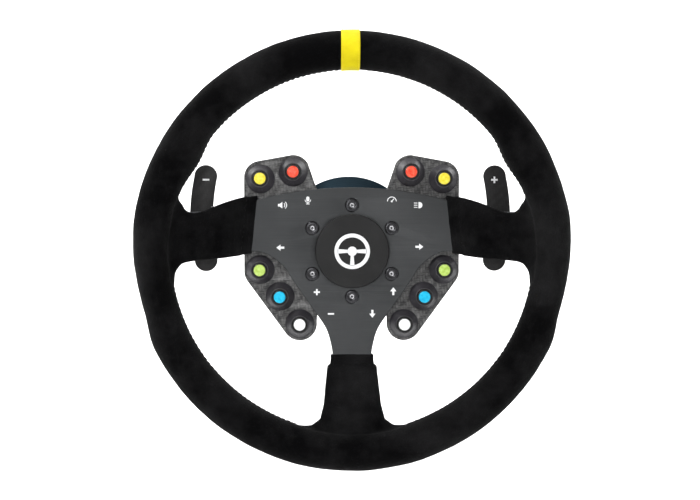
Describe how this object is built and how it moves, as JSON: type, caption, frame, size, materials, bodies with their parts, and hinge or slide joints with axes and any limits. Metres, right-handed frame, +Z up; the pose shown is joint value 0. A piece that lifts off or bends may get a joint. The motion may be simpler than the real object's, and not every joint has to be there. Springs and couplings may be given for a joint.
{
  "type": "quick release steering wheel",
  "caption": "Suede three-spoke racing wheel with a carbon button plate, shift paddles and a sliding-collar quick release hub.",
  "frame": {"origin": "on the steering axis at the rear face of the column boss, where the quick release meets the steering column", "axes": "+Y along the steering axis towards the steering column, away from the driver; +Z up; +X to the driver's right"},
  "size_m": [0.3284, 0.1541, 0.3317],
  "materials": {
    "suede": "napped suede",
    "foam": "matt moulded foam",
    "marker_leather": "matt yellow leather",
    "anodised_plate": "brushed dark grey anodised",
    "moulded_black": "fine texture",
    "black_steel": "black oxide",
    "carbon": "satin carbon fibre twill",
    "circuit_board": "solder mask",
    "bright_steel": "ground",
    "anodised_blue_grey": "satin anodised",
    "rubber": "matt",
    "yellow_cap": "satin",
    "red_cap": "satin",
    "green_cap": "satin",
    "blue_cap": "satin",
    "white_cap": "satin"
  },
  "bodies": {
    "column_side": {"column_hub": "anodised_blue_grey", "contact_socket": "moulded_black", "snap_ring": "bright_steel", "collar_spring": "bright_steel", "lock_ball_1": "bright_steel", "lock_ball_2": "bright_steel", "lock_ball_3": "bright_steel", "lock_ball_4": "bright_steel", "lock_ball_5": "bright_steel", "lock_ball_6": "bright_steel"},
    "collar": {"release_collar": "anodised_blue_grey"},
    "paddle_left": {"paddle_arm_left": "anodised_plate", "paddle_blade_left": "carbon"},
    "paddle_right": {"paddle_arm_right": "anodised_plate", "paddle_blade_right": "carbon"},
    "button_yellow_left": {"button_cap_yellow_left": "yellow_cap"},
    "button_yellow_right": {"button_cap_yellow_right": "yellow_cap"},
    "button_red_left": {"button_cap_red_left": "red_cap"},
    "button_red_right": {"button_cap_red_right": "red_cap"},
    "button_green_left": {"button_cap_green_left": "green_cap"},
    "button_green_right": {"button_cap_green_right": "green_cap"},
    "button_blue_left": {"button_cap_blue_left": "blue_cap"},
    "button_blue_right": {"button_cap_blue_right": "blue_cap"},
    "button_white_left": {"button_cap_white_left": "white_cap"},
    "button_white_right": {"button_cap_white_right": "white_cap"},
    "wheel": {"rim_cover": "suede", "rim_core": "foam", "centre_marker": "marker_leather", "wheel_frame": "anodised_plate", "spacer_ring": "anodised_plate", "paddle_block_left": "anodised_plate", "paddle_block_right": "anodised_plate", "centre_cap": "moulded_black", "rear_housing": "moulded_black", "contact_plug": "moulded_black", "button_bezel_yellow_left": "moulded_black", "button_bezel_yellow_right": "moulded_black", "button_bezel_red_left": "moulded_black", "button_bezel_red_right": "moulded_black", "button_bezel_green_left": "moulded_black", "button_bezel_green_right": "moulded_black", "button_bezel_blue_left": "moulded_black", "button_bezel_blue_right": "moulded_black", "button_bezel_white_left": "moulded_black", "button_bezel_white_right": "moulded_black", "hub_bolt_1": "black_steel", "hub_bolt_2": "black_steel", "hub_bolt_3": "black_steel", "hub_bolt_4": "black_steel", "hub_bolt_5": "black_steel", "hub_bolt_6": "black_steel", "button_plate": "carbon", "circuit_board": "circuit_board", "paddle_pivot_pin_left": "bright_steel", "paddle_pivot_pin_right": "bright_steel", "paddle_magnet_left": "bright_steel", "paddle_magnet_right": "bright_steel", "qr_spigot": "anodised_blue_grey", "spigot_o_ring": "rubber"}
  },
  "joints": [
    {"name": "wheel_release", "type": "slide", "parent": "column_side", "child": "wheel", "axis": [0, -1, 0], "range_m": [0, 0.045]},
    {"name": "collar_pull", "type": "slide", "parent": "column_side", "child": "collar", "axis": [0, -1, 0], "range_m": [0, 0.005], "stiffness_N_per_m": 3000, "springref_m": -0.004, "deforming": ["collar_spring"]},
    {"name": "paddle_left_pull", "type": "hinge", "parent": "wheel", "child": "paddle_left", "pos_m": [-0.086, -0.082, 0.022], "axis": [0, 0, 1], "range_deg": [0, 4], "stiffness_Nm_per_rad": 4, "springref_deg": -2.86},
    {"name": "paddle_right_pull", "type": "hinge", "parent": "wheel", "child": "paddle_right", "pos_m": [0.086, -0.082, 0.022], "axis": [0, 0, -1], "range_deg": [0, 4], "stiffness_Nm_per_rad": 4, "springref_deg": -2.86},
    {"name": "button_yellow_left_press", "type": "slide", "parent": "wheel", "child": "button_yellow_left", "axis": [0, 1, 0], "range_m": [0, 0.002], "stiffness_N_per_m": 400, "springref_m": -0.002},
    {"name": "button_yellow_right_press", "type": "slide", "parent": "wheel", "child": "button_yellow_right", "axis": [0, 1, 0], "range_m": [0, 0.002], "stiffness_N_per_m": 400, "springref_m": -0.002},
    {"name": "button_red_left_press", "type": "slide", "parent": "wheel", "child": "button_red_left", "axis": [0, 1, 0], "range_m": [0, 0.002], "stiffness_N_per_m": 400, "springref_m": -0.002},
    {"name": "button_red_right_press", "type": "slide", "parent": "wheel", "child": "button_red_right", "axis": [0, 1, 0], "range_m": [0, 0.002], "stiffness_N_per_m": 400, "springref_m": -0.002},
    {"name": "button_green_left_press", "type": "slide", "parent": "wheel", "child": "button_green_left", "axis": [0, 1, 0], "range_m": [0, 0.002], "stiffness_N_per_m": 400, "springref_m": -0.002},
    {"name": "button_green_right_press", "type": "slide", "parent": "wheel", "child": "button_green_right", "axis": [0, 1, 0], "range_m": [0, 0.002], "stiffness_N_per_m": 400, "springref_m": -0.002},
    {"name": "button_blue_left_press", "type": "slide", "parent": "wheel", "child": "button_blue_left", "axis": [0, 1, 0], "range_m": [0, 0.002], "stiffness_N_per_m": 400, "springref_m": -0.002},
    {"name": "button_blue_right_press", "type": "slide", "parent": "wheel", "child": "button_blue_right", "axis": [0, 1, 0], "range_m": [0, 0.002], "stiffness_N_per_m": 400, "springref_m": -0.002},
    {"name": "button_white_left_press", "type": "slide", "parent": "wheel", "child": "button_white_left", "axis": [0, 1, 0], "range_m": [0, 0.002], "stiffness_N_per_m": 400, "springref_m": -0.002},
    {"name": "button_white_right_press", "type": "slide", "parent": "wheel", "child": "button_white_right", "axis": [0, 1, 0], "range_m": [0, 0.002], "stiffness_N_per_m": 400, "springref_m": -0.002}
  ]
}
